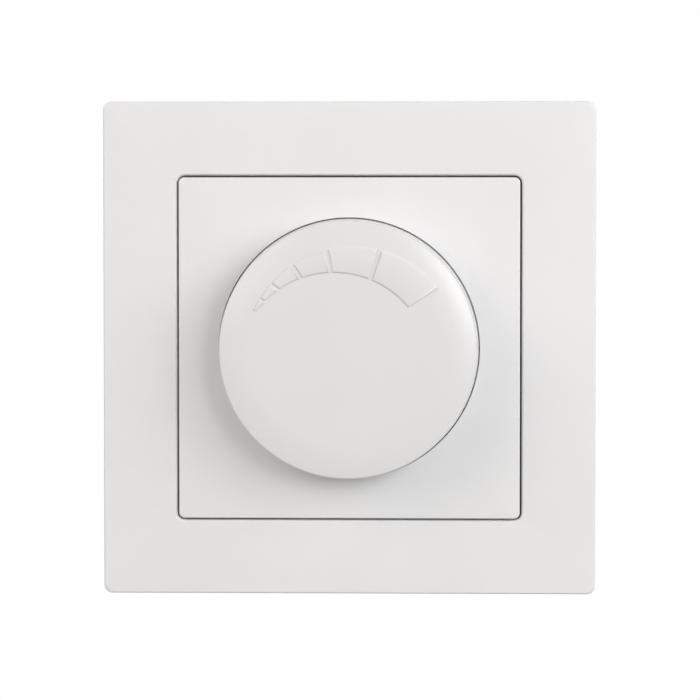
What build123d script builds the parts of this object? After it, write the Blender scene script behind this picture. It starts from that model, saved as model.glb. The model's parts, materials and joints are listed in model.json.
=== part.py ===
from build123d import *
import math
import os

# A rotary dimmer switch for a flush wall box, with its cover frame, centre plate and knob.
# It is drawn with x to the right, y up and z out of the wall, and the wall is at z = 0.
# The last lines turn it so that its front faces -Y and +Z is up. Sizes are in millimetres.

# Cover frame
frame_side = 84.0
frame_front = 9.0
frame_corner = 1.5
frame_edge = 0.25
frame_draft = 1.0
frame_face = 2.0
frame_wall = 1.8
frame_ledge_depth = 4.0
frame_ledge_width = 3.4
frame_ledge_thick = 1.6
frame_rim_wall = 1.6
frame_mouth_edge = 0.4
frame_rib = 1.2
frame_ring_side = 73.0
frame_rib_places = (-20.0, 20.0)
frame_notch = 9.6

# Centre plate and its round well
plate_side = 58.0
plate_gap = 0.3
plate_proud = 0.2
plate_corner = 1.0
plate_edge = 0.2
plate_face = 2.0
plate_skirt = 1.5
plate_rib = 1.2
well_gap = 0.25
well_depth = 3.6
well_wall = 1.4
well_floor = 1.6
well_edge = 0.15

# Knob
knob_diameter = 44.1
knob_draft = 0.5
knob_height = 10.1
knob_sunk = 0.8
knob_flat_radius = 15.5
knob_drop = 0.55
knob_rim_edge = 0.5
knob_crown_bands = 2
knob_wall = 1.6
knob_boss_radius = 5.0
knob_rib = 1.0
knob_rib_count = 4
knob_travel = 1.5

# Raised scale on the knob: two arcs that meet at its left tip, cut into six blocks
scale_height = 0.2
scale_slope = 45.0
scale_outer_radius = 18.12
scale_outer_centre = (0.94, -1.04)
scale_inner_radius = 16.38
scale_inner_centre = (-2.18, -3.50)
scale_spans = ((-66.5, -60.2), (-59.2, -49.4), (-48.3, -33.5), (-32.1, -12.5), (-10.7, 17.1), (18.9, 55.7))

# Spindle, bush and nuts
spindle_radius = 3.0
spindle_flat = 1.5
spindle_flat_lead = 1.0
spindle_clear = 0.06
bush_radius = 5.0
bush_flange_side = 12.0
bush_flange = 0.8
thread_clear = 0.05
bush_nut_across = 14.0
bush_nut_thick = 2.0
cap_nut_across = 17.0
cap_nut_thick = 2.6
bush_proud = 0.4
clip_radius = 4.4
clip_thick = 0.5
clip_mouth = 4.2
spring_thick = 0.35
spring_width = 3.2
spring_lip = 0.8
fit_gap = 0.05
part_gap = 0.3

# Support plate
support_side = 71.0
support_thick = 1.2
support_corner = 6.0
box_screw_pitch = 60.0
box_hole_radius = 2.1
box_slot_width = 4.5
box_slot_length = 9.0
box_slot_corner = 0.8
support_notch_width = 5.0
support_notch_depth = 1.5
screw_hole_radius = 1.7

# Claws and their screws
claw_width = 8.0
claw_sheet = 1.2
claw_roll = 0.9
claw_length = 20.0
claw_foot = 2.2
claw_tab_drop = 1.9
claw_tab_reach = 6.0
claw_arm = 3.3
claw_swing = 18.0
claw_tooth = 1.4
claw_teeth = 3
claw_screw_radius = 1.5
claw_screw_length = 9.0
claw_screw_pitch = 0.5
screw_head_radius = 2.5
screw_head_thick = 1.4
screw_slot = 0.7
screw_slot_depth = 0.6

# Housing
housing_width = 42.0
housing_height = 48.0
housing_round = 28.5
housing_depth = 24.0
housing_wall = 1.5
housing_edge = 0.8
housing_boss_radius = 3.0
housing_boss_inset = (5.0, 6.0)
housing_screw_radius = 1.25
housing_screw_length = 8.0
housing_screw_spare = 1.0
vent_width = 1.4
vent_length = 13.0
vent_count = 4
vent_pitch = 3.2

# Potentiometer
pot_side = 16.0
pot_wall = 0.8
pot_corner = 0.5
pot_depth = 7.2
track_thick = 0.8
rotor_radius = 6.6
rotor_thick = 1.3
rotor_hub_radius = 4.0
wiper_thick = 0.3
wiper_length = 6.0
wiper_width = 1.6

# Push switch
switch_side = 15.0
switch_wall = 1.2
switch_depth = 10.0
slider_side = 8.0
slider_thick = 4.0
slider_nub = 1.2
slider_guide = 2.0
leaf_thick = 0.3
leaf_width = 3.0
contact_radius = 1.2
contact_thick = 0.6
contact_inset = 2.5
leaf_end_gap = 1.0

# Circuit board and what it carries
board_thick = 1.6
board_drop = 9.0
board_gap = 0.3
board_rail = 1.2
board_rail_width = 2.0
board_rail_place = 9.0
board_part_gap = 0.8
board_part_pitch = 4.0
triac_size = (10.0, 9.0, 4.4)
triac_tab = (10.0, 6.5, 1.3)
triac_place = (-2.0, 15.2)
triac_pad_thick = 0.3
triac_pad_margin = 0.5
triac_hole_shift = 0.5
triac_edge = 0.4
triac_tab_lap = 1.0
triac_lead_reach = 2.0
triac_lead_root = 0.5
triac_screw_end = 0.5
triac_nut_across = 5.5
triac_nut_thick = 2.0
triac_pitch = 2.54
lead_radius = 0.3
lead_reach = 1.0
choke_floor_gap = 2.0
choke_length = 13.0
choke_corner = 2.0
choke_core_share = 0.52
choke_flange = 1.5
choke_place = (0.0, 15.2)
film_width = 7.0
film_length = 17.0
film_floor_gap = 1.4
film_shift = 1.0
film_edge = 0.8
fuse_radius = 2.6
fuse_length = 20.0
fuse_cap = 5.0
fuse_clip_sheet = 0.4
fuse_clip_width = 4.0
resistor_radius = 1.2
resistor_length = 6.5
diac_radius = 0.9
diac_length = 4.0
timing_cap_size = (7.2, 2.6, 6.0)
timing_cap_edge = 0.5

# Terminals
terminal_count = 3
terminal_wall = 2.0
terminal_boss_gap = 0.5
terminal_depth = 7.6
terminal_height = 8.6
terminal_wire = 3.6
terminal_screw_radius = 1.75
terminal_access_radius = 1.95
terminal_back = 1.0

# Heights worked out from the sizes above
plate_front = frame_front + plate_proud
ledge_top = frame_front - frame_ledge_depth
ledge_under = ledge_top - frame_ledge_thick
opening_side = plate_side + 2 * plate_gap
ledge_side = opening_side - 2 * frame_ledge_width
rim_side = opening_side + 2 * frame_rim_wall
knob_radius = knob_diameter / 2
knob_shoulder = knob_radius - knob_draft
well_radius = knob_radius + well_gap
well_top = plate_front - well_depth
well_under = well_top - well_floor
cap_nut_top = well_top + cap_nut_thick
bush_top = cap_nut_top + bush_proud
knob_bottom = plate_front - knob_sunk
knob_top = knob_bottom + knob_height
knob_under = knob_top - knob_wall
knob_inner = knob_shoulder - knob_wall
knob_edge = knob_shoulder - knob_rim_edge
knob_boss_bottom = bush_top + knob_travel + 2 * part_gap
spindle_top = knob_under - part_gap
pot_under = -pot_depth
track_top = pot_under + track_thick
pot_roof = -bush_flange - pot_wall
spindle_bottom = pot_under - pot_wall
clip_top = pot_roof - fit_gap
rotor_top = clip_top - clip_thick - knob_travel - fit_gap
board_front = -board_drop
board_rear = board_front - board_thick
housing_floor = -housing_depth + housing_wall
housing_inner_width = housing_width - 2 * housing_wall
housing_inner_height = housing_height - 2 * housing_wall
board_room = board_rear - housing_floor
terminal_row = 2 * (housing_width / 2 - housing_boss_inset[0] - housing_boss_radius - terminal_boss_gap)
terminal_width = (terminal_row - (terminal_count - 1) * terminal_wall) / terminal_count
terminal_pitch = terminal_width + terminal_wall
terminal_places = [(step - (terminal_count - 1) / 2) * terminal_pitch for step in range(terminal_count)]
board_half = housing_inner_width / 2 - board_gap
rail_face = housing_inner_width / 2 - board_rail
choke_side = board_room - part_gap - choke_floor_gap
choke_core_side = choke_side * choke_core_share
film_height = board_room - film_floor_gap
film_x = rail_face - board_part_gap - film_width / 2
fuse_grip = fuse_radius + fit_gap
fuse_x = -(rail_face - board_part_gap - fuse_clip_sheet - fuse_grip)
front_part_x = (pot_side / 2 + board_half) / 2
switch_under = pot_under - switch_depth
slider_under = spindle_bottom - slider_thick
claw_pivot = (housing_width / 2 + part_gap + claw_sheet / 2 + claw_roll / 3, -claw_roll - part_gap)
claw_screw_x = claw_pivot[0] + claw_arm


def block(x, y, z):
    """A block between two values along each axis."""
    size = [high - low for low, high in (x, y, z)]
    middle = [(high + low) / 2 for low, high in (x, y, z)]
    return Pos(*middle) * Box(*size)


def post(radius, z, place=(0, 0)):
    """A cylinder that stands along z between two heights."""
    return Pos(place[0], place[1], (z[0] + z[1]) / 2) * Cylinder(radius, z[1] - z[0])


def rod(radius, y, x, z):
    """A cylinder that lies along y between two values."""
    return Pos(x, (y[0] + y[1]) / 2, z) * Rot(90, 0, 0) * Cylinder(radius, y[1] - y[0])


def rounded_block(side, corner, z):
    """A square block with round corners, between two heights."""
    return Pos(0, 0, z[0]) * extrude(RectangleRounded(side, side, corner), z[1] - z[0])


def square_block(side, z):
    return block((-side / 2, side / 2), (-side / 2, side / 2), z)


def hexagon(across, z, place=(0, 0)):
    """A hexagon nut blank, given across its flats."""
    blank = RegularPolygon(across / 2, 6, major_radius=False)
    return Pos(place[0], place[1], z[0]) * extrude(blank, z[1] - z[0])


def rim_edges(solid, z):
    """The edges that lie flat at one height."""
    return solid.edges().filter_by_position(Axis.Z, z - 0.01, z + 0.01)


def around(shape, count, start=0.0):
    """The shape repeated evenly round the z axis."""
    return [Rot(0, 0, start + 360 * step / count) * shape for step in range(count)]


def d_bar(radius, flat, z):
    """A round bar with one flat, which faces up."""
    return post(radius, z) - block((-radius, radius), (flat, 2 * radius), z)


def slotted_head(place, z, outward):
    """A cheese head with a slot in the face that looks along outward, +1 or -1."""
    head = post(screw_head_radius, z, place)
    face = z[1] if outward > 0 else z[0]
    cut = sorted((face, face - outward * screw_slot_depth))
    x = (place[0] - screw_slot / 2, place[0] + screw_slot / 2)
    y = (place[1] - screw_head_radius, place[1] + screw_head_radius)
    return head - block(x, y, tuple(cut))


def cover_frame():
    """The moulded frame: a drafted outer wall, a face, and a rim with the ledge for the plate."""
    outer = extrude(RectangleRounded(frame_side, frame_side, frame_corner), frame_front, taper=frame_draft)
    outer = chamfer(rim_edges(outer, frame_front), frame_edge)
    inner_side = frame_side - 2 * frame_wall
    face_under = frame_front - frame_face
    channel = square_block(inner_side, (0, face_under)) - square_block(rim_side, (0, face_under))
    frame = outer - channel - square_block(inner_side, (0, support_thick))
    frame -= square_block(opening_side, (support_thick, ledge_under))
    frame -= square_block(ledge_side, (ledge_under, ledge_top))
    pocket = rounded_block(opening_side, plate_corner + plate_gap, (ledge_top, frame_front))
    frame -= pocket
    middle = (opening_side + frame_side) / 4
    top_edges = rim_edges(frame, frame_front)
    mouth = [e for e in top_edges if max(abs(e.center().X), abs(e.center().Y)) < middle]
    frame = chamfer(mouth, frame_mouth_edge)
    rib_bottom = support_thick + 2 * part_gap
    rib_ends = (rim_side / 2 - frame_rim_wall / 2, frame_side / 2 - frame_wall / 2)
    for place in frame_rib_places:
        rib = block((place - frame_rib / 2, place + frame_rib / 2), rib_ends, (rib_bottom, face_under))
        frame += around(rib, 4)
    ring_inner = frame_ring_side - 2 * frame_rib
    frame += square_block(frame_ring_side, (rib_bottom, face_under)) - square_block(
        ring_inner, (rib_bottom, face_under))
    notch = block(
        (-frame_notch / 2, frame_notch / 2),
        (opening_side / 2 - frame_rim_wall, rim_side / 2 + frame_rim_wall),
        (support_thick, ledge_under),
    )
    for cut in around(notch, 4):
        frame -= cut
    return frame


def centre_plate():
    """The centre plate, with the well for the knob, its hub hole, and ribs behind its face."""
    plate = rounded_block(plate_side, plate_corner, (ledge_top, plate_front))
    plate = chamfer(rim_edges(plate, plate_front), plate_edge)
    face_under = plate_front - plate_face
    plate -= square_block(plate_side - 2 * plate_skirt, (ledge_top, face_under))
    well_outer = well_radius + well_wall
    plate += post(well_outer, (well_under, plate_front - plate_face / 2))
    rib_reach = plate_side / 2 - plate_skirt / 2
    rib_x = (-plate_rib / 2, plate_rib / 2)
    rib = block(rib_x, (well_radius + well_wall / 2, rib_reach), (ledge_top, face_under))
    plate += around(rib, 4)
    corner_reach = rib_reach * math.sqrt(2) - plate_rib
    corner_rib = block(rib_x, (well_radius + well_wall / 2, corner_reach), (ledge_top, face_under))
    plate += around(corner_rib, 4, 45)
    plate -= post(well_radius, (well_top, plate_front))
    plate = chamfer([e for e in rim_edges(plate, plate_front) if e.geom_type == GeomType.CIRCLE
                     and abs(e.radius - well_radius) < 0.01], well_edge)
    return plate - post(bush_radius + part_gap / 2, (well_under, well_top))


def crown_arc(top):
    """Points down the crowned edge, on the arc that leaves the flat face without a break."""
    width = knob_edge - knob_flat_radius
    radius = (width**2 + knob_drop**2) / (2 * knob_drop)
    full = math.asin(width / radius)
    turns = [full * step / knob_crown_bands for step in range(knob_crown_bands + 1)]
    return [(knob_flat_radius + radius * math.sin(a), top - radius * (1 - math.cos(a))) for a in turns]


def crown():
    """The knob's outer form as one turned solid, with its drafted side and its crowned face."""
    top = knob_top
    rim = (knob_shoulder, top - knob_drop - knob_rim_edge)
    foot = (knob_radius, knob_bottom)
    outline = Polyline((0, knob_bottom), (0, top), *crown_arc(top), rim, foot, close=True)
    return revolve(Plane.XZ * make_face(outline), Axis.Z)


def scale_blocks():
    """The six raised blocks, cut from the crescent between the two arcs by rays from the centre."""
    crescent = Pos(*scale_outer_centre) * Circle(scale_outer_radius)
    crescent -= Pos(*scale_inner_centre) * Circle(scale_inner_radius)
    reach = 2 * knob_radius
    blocks = []
    for start, end in scale_spans:
        turns = (math.radians(start), math.radians(end))
        rays = [(reach * math.sin(a), reach * math.cos(a)) for a in turns]
        sector = make_face(Polyline((0, 0), *rays, close=True))
        base = Pos(0, 0, knob_top - scale_height) * (crescent & sector)
        blocks.append(extrude(base, 2 * scale_height, taper=scale_slope))
    return blocks


def knob():
    """The knob: a thin cup with a crowned rim, a bored boss on ribs, and its raised scale."""
    cup = crown()
    inner_top = knob_under - knob_drop
    hollow = post(knob_inner, (knob_bottom, inner_top)) + post(knob_flat_radius, (inner_top, knob_under))
    cup -= hollow
    cup += post(knob_boss_radius, (knob_boss_bottom, knob_under))
    rib = block((-knob_rib / 2, knob_rib / 2), (knob_boss_radius / 2, knob_inner + knob_wall / 2),
                (knob_boss_bottom, inner_top))
    upper = block((-knob_rib / 2, knob_rib / 2), (knob_boss_radius / 2, knob_flat_radius),
                  (knob_boss_bottom, knob_under))
    cup += around(rib + upper, knob_rib_count)
    bore = (knob_boss_bottom, spindle_top + fit_gap)
    cup -= d_bar(spindle_radius + spindle_clear, spindle_flat + spring_thick + 2 * fit_gap, bore)
    for piece in scale_blocks():
        cup += piece
    return cup


def knob_spring():
    """The strip between the bore and the spindle's flat, hooked over the end of the boss."""
    y = (spindle_flat + fit_gap, spindle_flat + fit_gap + spring_thick)
    half = spring_width / 2
    strip = block((-half, half), y, (knob_boss_bottom - fit_gap, spindle_top - spindle_flat_lead))
    lip = block((-half, half), (y[0], spindle_radius + spring_lip),
                (knob_boss_bottom - fit_gap - spring_thick, knob_boss_bottom - fit_gap))
    return strip + lip


def spindle():
    """The spindle, round in the bush and flat in the knob and in the rotor."""
    lower = (spindle_bottom, pot_roof + knob_travel)
    upper = (knob_boss_bottom - spindle_flat_lead, spindle_top)
    bar = d_bar(spindle_radius, spindle_flat, lower) + d_bar(spindle_radius, spindle_flat, upper)
    bar += post(spindle_radius, (lower[1], upper[0]))
    groove = post(2 * spindle_radius, (clip_top - clip_thick, clip_top))
    return bar - (groove - post(spindle_radius - clip_thick, (clip_top - clip_thick, clip_top)))


def spindle_clip():
    """The open ring that snaps into the spindle's groove."""
    z = (clip_top - clip_thick, clip_top)
    ring = post(clip_radius, z) - post(spindle_radius - clip_thick + fit_gap, z)
    mouth = clip_mouth / 2
    return ring - block((-mouth, mouth), (-clip_radius, 0), z)


def bush():
    """The threaded bush, with the square flange that the potentiometer hangs from."""
    body = post(bush_radius, (0, bush_top)) + square_block(bush_flange_side, (-bush_flange, 0))
    return body - post(spindle_radius + spindle_clear, (-bush_flange, bush_top))


def bush_nut():
    z = (support_thick, support_thick + bush_nut_thick)
    return hexagon(bush_nut_across, z) - post(bush_radius + thread_clear, z)


def retaining_nut():
    """The nut on the bush that clamps the centre plate."""
    z = (well_top, cap_nut_top)
    return hexagon(cap_nut_across, z) - post(bush_radius + thread_clear, z)


def housing_boss_places():
    x = housing_width / 2 - housing_boss_inset[0]
    y = housing_height / 2 - housing_boss_inset[1]
    return [(x, y), (-x, -y)]


def triac_hole():
    """Where the screw goes through the tab of the power switch."""
    reach = (triac_size[1] + triac_tab[1]) / 2
    return (triac_place[0] - reach + triac_tab[1] / 2 - triac_hole_shift, triac_place[1])


def support_plate():
    """The steel plate, with its holes for the box, the bush, the claws, the housing and the heat screw."""
    z = (0, support_thick)
    plate = square_block(support_side, z)
    plate = chamfer(plate.edges().filter_by(Axis.Z), support_corner)
    plate -= post(bush_radius + fit_gap, z)
    radius = box_screw_pitch / 2
    plate -= post(box_hole_radius, z, (0, radius)) + post(box_hole_radius, z, (0, -radius))
    slot = chamfer(Rectangle(box_slot_width, box_slot_length).vertices(), box_slot_corner)
    for side in (-1, 1):
        plate -= Pos(side * radius, 0, 0) * extrude(slot, support_thick)
        plate -= post(screw_hole_radius, z, (side * claw_screw_x, 0))
        notch = block((-support_notch_width / 2, support_notch_width / 2),
                      (support_side / 2 - support_notch_depth, support_side / 2), z)
        plate -= Rot(0, 0, 90 * side) * notch
    for place in housing_boss_places():
        plate -= post(screw_hole_radius, z, place)
    return plate - post(screw_hole_radius, z, triac_hole())


def right_claw():
    """The pressed claw: a rolled end, a leg, a slotted tab for its screw, and a toothed foot."""
    x, z = claw_pivot
    half = claw_sheet / 2
    tab = z - claw_tab_drop
    foot_top = -claw_length + claw_sheet
    outline = Pos(x, z) * Circle(claw_roll)
    outline += Pos(x, (z - claw_length) / 2) * Rectangle(claw_sheet, claw_length + z)
    outline += Pos(x + (half + claw_tab_reach) / 2, tab) * Rectangle(claw_tab_reach - half, claw_sheet)
    outline += Pos(x + (half + claw_foot) / 2, foot_top - half) * Rectangle(half + claw_foot, claw_sheet)
    side = Plane.XZ * outline
    claw = extrude(side, claw_width / 2, both=True)
    turn = math.radians(claw_swing)
    tilt = claw_sheet / 2 * math.tan(turn)
    arm_turned = (claw_arm - claw_tab_drop * math.sin(turn)) / math.cos(turn)
    slot_from = x + arm_turned - claw_screw_radius / math.cos(turn) - tilt - fit_gap
    slot_to = x + claw_arm + claw_screw_radius + tilt
    slot_half = claw_screw_radius + 2 * fit_gap
    claw -= block((slot_from, slot_to), (-slot_half, slot_half), (tab - half, tab + half))
    screw_end = support_thick - claw_screw_length
    window_end = z - math.hypot(claw_arm, z - screw_end) - part_gap
    claw -= block((x - half, x + half), (-slot_half, slot_half), (window_end, tab - half - part_gap))
    tip = x + half + claw_foot
    step = claw_width / claw_teeth
    for place in range(claw_teeth + 1):
        y = -claw_width / 2 + place * step
        sides = ((tip + part_gap, y - step / 2), (tip + part_gap, y + step / 2))
        valley = Polyline(sides[0], (tip - claw_tooth, y), sides[1], close=True)
        claw -= Pos(0, 0, -claw_length) * extrude(make_face(valley), claw_sheet)
    return claw


def claw_screw(side):
    """A claw's screw: its head rests on the plate and its shank passes the claw's slot."""
    place = (side * claw_screw_x, 0)
    z = (support_thick, support_thick + screw_head_thick)
    shank = post(claw_screw_radius, (support_thick - claw_screw_length, support_thick), place)
    return slotted_head(place, z, 1) + shank


def housing():
    """The moulded box behind the plate: bosses, board rails, wire entries, screw holes and vents."""
    outline = Rectangle(housing_width, housing_height) & Circle(housing_round)
    inside = Rectangle(housing_inner_width, housing_inner_height) & Circle(housing_round - housing_wall)
    box = Pos(0, 0, -housing_depth) * extrude(outline, housing_depth)
    box = chamfer(rim_edges(box, -housing_depth), housing_edge)
    hollow = Pos(0, 0, housing_floor) * extrude(inside, -housing_floor)
    box -= hollow
    for place in housing_boss_places():
        boss = post(housing_boss_radius, (housing_floor - housing_wall / 2, 0), place)
        bore_end = support_thick - housing_screw_length - housing_screw_spare
        box += boss - post(housing_screw_radius + fit_gap, (bore_end, 0), place)
    rail_x = (rail_face, housing_inner_width / 2 + housing_wall / 2)
    for place in (-board_rail_place, board_rail_place):
        rail_y = (place - board_rail_width / 2, place + board_rail_width / 2)
        rail = block(rail_x, rail_y, (housing_floor - housing_wall / 2, board_rear))
        box += [rail, mirror(rail, Plane.YZ)]
    wire_z = board_rear - terminal_height / 2
    wall_y = (-housing_height / 2, -housing_inner_height / 2)
    screw_y = sum(terminal_y()) / 2
    for x in terminal_places:
        box -= block((x - terminal_wire / 2, x + terminal_wire / 2), wall_y,
                     (wire_z - terminal_wire / 2, wire_z + terminal_wire / 2))
        box -= post(terminal_access_radius, (-housing_depth, housing_floor), (x, screw_y))
    for step in range(vent_count):
        y = (step - (vent_count - 1) / 2) * vent_pitch + vent_pitch
        x = (-vent_length / 2, vent_length / 2)
        box -= block(x, (y - vent_width / 2, y + vent_width / 2), (-housing_depth, housing_floor))
    return box


def housing_screws():
    """Two screws through the plate into the bosses, at opposite corners."""
    z = (support_thick, support_thick + screw_head_thick)
    below = (support_thick - housing_screw_length, support_thick)
    return [
        slotted_head(place, z, 1) + post(housing_screw_radius, below, place)
        for place in housing_boss_places()
    ]


def pot_case():
    """The case of the potentiometer, open at the back, with a seat for the bush's flange."""
    case = square_block(pot_side, (track_top, 0))
    case = chamfer(case.edges().filter_by(Axis.Z), pot_corner)
    case -= square_block(bush_flange_side + 2 * fit_gap, (-bush_flange, 0))
    case -= post(spindle_radius + part_gap, (pot_roof, -bush_flange))
    return case - square_block(pot_side - 2 * pot_wall, (track_top, pot_roof))


def pot_track():
    """The wafer that carries the resistance track and closes the case."""
    wafer = square_block(pot_side, (pot_under, track_top))
    wafer = chamfer(wafer.edges().filter_by(Axis.Z), pot_corner)
    return wafer - post(spindle_radius + part_gap, (pot_under, track_top))


def pot_rotor():
    """The rotor that the spindle turns and slides through."""
    disc = post(rotor_radius, (rotor_top - rotor_thick, rotor_top))
    hub = post(rotor_hub_radius, (track_top + fit_gap, rotor_top - rotor_thick))
    bore = d_bar(spindle_radius + spindle_clear, spindle_flat + spindle_clear, (track_top, rotor_top))
    return disc + hub - bore


def pot_wiper():
    """The spring strip under the rotor, with its two feet on the track and on the collector."""
    top = rotor_top - rotor_thick
    y = (rotor_hub_radius + fit_gap, rotor_hub_radius + fit_gap + wiper_width)
    half = wiper_length / 2
    strip = block((-half, half), y, (top - wiper_thick, top))
    foot_bottom = track_top + fit_gap
    for side in (-1, 1):
        x = sorted((side * half, side * (half - wiper_thick)))
        strip += block(tuple(x), y, (foot_bottom, top - wiper_thick))
    return strip


def switch_case():
    """The open-topped case of the push switch, with the seat of its fixed contact."""
    case = square_block(switch_side, (switch_under, pot_under))
    inner = switch_side - 2 * switch_wall
    return case - square_block(inner, (switch_under + switch_wall, pot_under))


def switch_slider():
    """The slider under the spindle, with the nub that presses the leaf."""
    half = slider_side / 2
    body = block((-half, half), (-half, half), (slider_under, spindle_bottom))
    guide = (switch_side / 2 - switch_wall - fit_gap)
    body += block((-guide, guide), (-slider_guide / 2, slider_guide / 2), (slider_under, spindle_bottom))
    return body + post(slider_nub, (slider_under - slider_nub / 2, slider_under))


def leaf_top():
    return slider_under - slider_nub / 2 - fit_gap


def contact_leaf():
    """The leaf spring with its contact, held in the wall of the case."""
    reach = switch_side / 2 - switch_wall - fit_gap
    z = (leaf_top() - leaf_thick, leaf_top())
    strip = block((-reach, reach - leaf_end_gap), (-leaf_width / 2, leaf_width / 2), z)
    root = block((-reach, -reach + leaf_thick), (-leaf_width / 2, leaf_width / 2),
                 (switch_under + switch_wall, z[0]))
    contact = post(contact_radius, (z[0] - contact_thick, z[0]), (reach - contact_inset, 0))
    return strip + root + contact


def fixed_contact():
    """The contact that the leaf meets when the switch closes, on its post."""
    x = switch_side / 2 - switch_wall - fit_gap - contact_inset
    top = leaf_top() - leaf_thick - contact_thick - knob_travel
    floor = switch_under + switch_wall
    return post(contact_radius, (floor, max(top, floor + contact_thick)), (x, 0))


def circuit_board():
    """The board, cut out round the push switch and the bosses."""
    z = (board_rear, board_front)
    width = housing_inner_width - 2 * board_gap
    height = housing_inner_height - 2 * board_gap
    shape = Rectangle(width, height) & Circle(housing_round - housing_wall - board_gap)
    board = Pos(0, 0, board_rear) * extrude(shape, board_thick)
    board -= square_block(switch_side + 2 * board_gap, z)
    cut_half = housing_boss_radius + board_gap
    for x, y in housing_boss_places():
        board -= block((x - cut_half, x + cut_half), (y - cut_half, y + cut_half), z)
    return board


def triac_pad():
    """The thin sheet that keeps the power switch off the plate."""
    x, y = triac_place
    length = triac_size[1] + triac_tab[1] + 2 * triac_pad_margin
    half = triac_size[0] / 2 + triac_pad_margin
    pad = block((x - length / 2, x + length / 2), (y - half, y + half), (-triac_pad_thick, 0))
    return pad - post(screw_hole_radius, (-triac_pad_thick, 0), triac_hole())


def triac():
    """The power switch: a metal tab, a moulded body and three leads bent down to the board."""
    x, y = triac_place
    length = triac_size[1] + triac_tab[1]
    half = triac_size[0] / 2
    top = -triac_pad_thick
    left = x - length / 2
    tab_x = (left, left + triac_tab[1] + triac_tab_lap)
    tab = block(tab_x, (y - half, y + half), (top - triac_tab[2], top))
    tab -= post(screw_hole_radius, (top - triac_tab[2], top), triac_hole())
    body = block((left + triac_tab[1], x + length / 2), (y - half, y + half), (top - triac_size[2], top))
    body = chamfer(body.edges().filter_by(Axis.Y), triac_edge)
    case = tab + body
    lead_z = top - triac_size[2] * 0.6
    for step in (-1, 0, 1):
        lead_y = (y + step * triac_pitch - lead_radius, y + step * triac_pitch + lead_radius)
        end = x + length / 2 + triac_lead_reach
        lead_x = (x + length / 2 - triac_lead_root, end)
        case += block(lead_x, lead_y, (lead_z - lead_radius, lead_z + lead_radius))
        case += block((end - 2 * lead_radius, end), lead_y, (board_front, lead_z))
    return case


def triac_screw():
    """The screw and nut that clamp the power switch to the plate."""
    place = triac_hole()
    nut_top = -triac_pad_thick - triac_tab[2]
    nut = hexagon(triac_nut_across, (nut_top - triac_nut_thick, nut_top), place)
    z = (nut_top - triac_nut_thick, nut_top)
    nut -= post(claw_screw_radius + thread_clear, z, place)
    shank = post(claw_screw_radius, (z[0] - triac_screw_end, support_thick), place)
    head = slotted_head(place, (support_thick, support_thick + screw_head_thick), 1)
    return [head + shank, nut]


def choke_bar(side, corner, length, shift=0.0):
    """A square bar with cut corners that lies along x at the choke's place."""
    section = chamfer(Rectangle(side, side).vertices(), corner)
    height = board_rear - choke_side / 2 - part_gap
    place = Pos(choke_place[0] + shift, choke_place[1], height)
    return place * Rot(0, 90, 0) * Pos(0, 0, -length / 2) * extrude(section, length)


def choke_core():
    """The ferrite bar of the choke, with a flange at each end that stands on the board."""
    reach = (choke_length + choke_flange) / 2
    core = choke_bar(choke_core_side, choke_corner / 2, choke_length + choke_flange)
    for side in (-1, 1):
        core += choke_bar(choke_side + 2 * part_gap, choke_corner / 2, choke_flange, side * reach)
    return core


def choke_winding():
    """The winding round the bar, as one closed band between the flanges."""
    band = choke_bar(choke_side, choke_corner, choke_length)
    return band - choke_bar(choke_core_side, choke_corner / 2, choke_length)


def film_capacitor():
    x = (film_x - film_width / 2, film_x + film_width / 2)
    y = (film_shift - film_length / 2, film_shift + film_length / 2)
    body = block(x, y, (board_rear - film_height, board_rear))
    return chamfer(body.edges().filter_by(Axis.Z), film_edge)


def fuse_height():
    return board_rear - fuse_radius - 2 * fuse_clip_sheet


def fuse():
    """The glass fuse, with its end caps as part of its outer form."""
    return rod(fuse_radius, (-fuse_length / 2, fuse_length / 2), fuse_x, fuse_height())


def fuse_clip(middle):
    """A sprung clip round one end of the fuse, open away from the board, with its foot on the board."""
    z = fuse_height()
    y = (middle - fuse_clip_width / 2, middle + fuse_clip_width / 2)
    outer = fuse_grip + fuse_clip_sheet
    arm_end = z - fuse_radius * 0.7
    base = block((fuse_x - outer, fuse_x + outer), y, (z + fuse_grip, board_rear))
    for side in (-1, 1):
        arm = sorted((fuse_x + side * fuse_grip, fuse_x + side * outer))
        base += block(tuple(arm), y, (arm_end, z + fuse_grip))
    return base


def fuse_clips():
    reach = (fuse_length - fuse_cap) / 2
    return [fuse_clip(side * reach) for side in (-1, 1)]


def axial_part(radius, length, y):
    """A resistor or diode along x, with a bent lead at each end, between the case and the board's end."""
    x = front_part_x
    z = board_front + radius + part_gap
    barrel = Pos(x, y, z) * Rot(0, 90, 0) * Cylinder(radius, length)
    for side in (-1, 1):
        out = sorted((x + side * length / 2, x + side * (length / 2 + lead_reach)))
        barrel += block(tuple(out), (y - lead_radius, y + lead_radius), (z - lead_radius, z + lead_radius))
        tip = length / 2 + lead_reach
        end = sorted((x + side * tip, x + side * (tip - 2 * lead_radius)))
        barrel += block(tuple(end), (y - lead_radius, y + lead_radius), (board_front, z))
    return barrel


def timing_capacitor():
    width, length, height = timing_cap_size
    x = (-front_part_x - width / 2, -front_part_x + width / 2)
    body = block(x, (-length / 2, length / 2), (board_front, board_front + height))
    return chamfer(body.edges().filter_by(Axis.Z), timing_cap_edge)


def terminal_y():
    """How far the cages reach along y, from just inside the lower wall."""
    outer = -housing_inner_height / 2 + part_gap
    return (outer, outer + terminal_depth)


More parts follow.
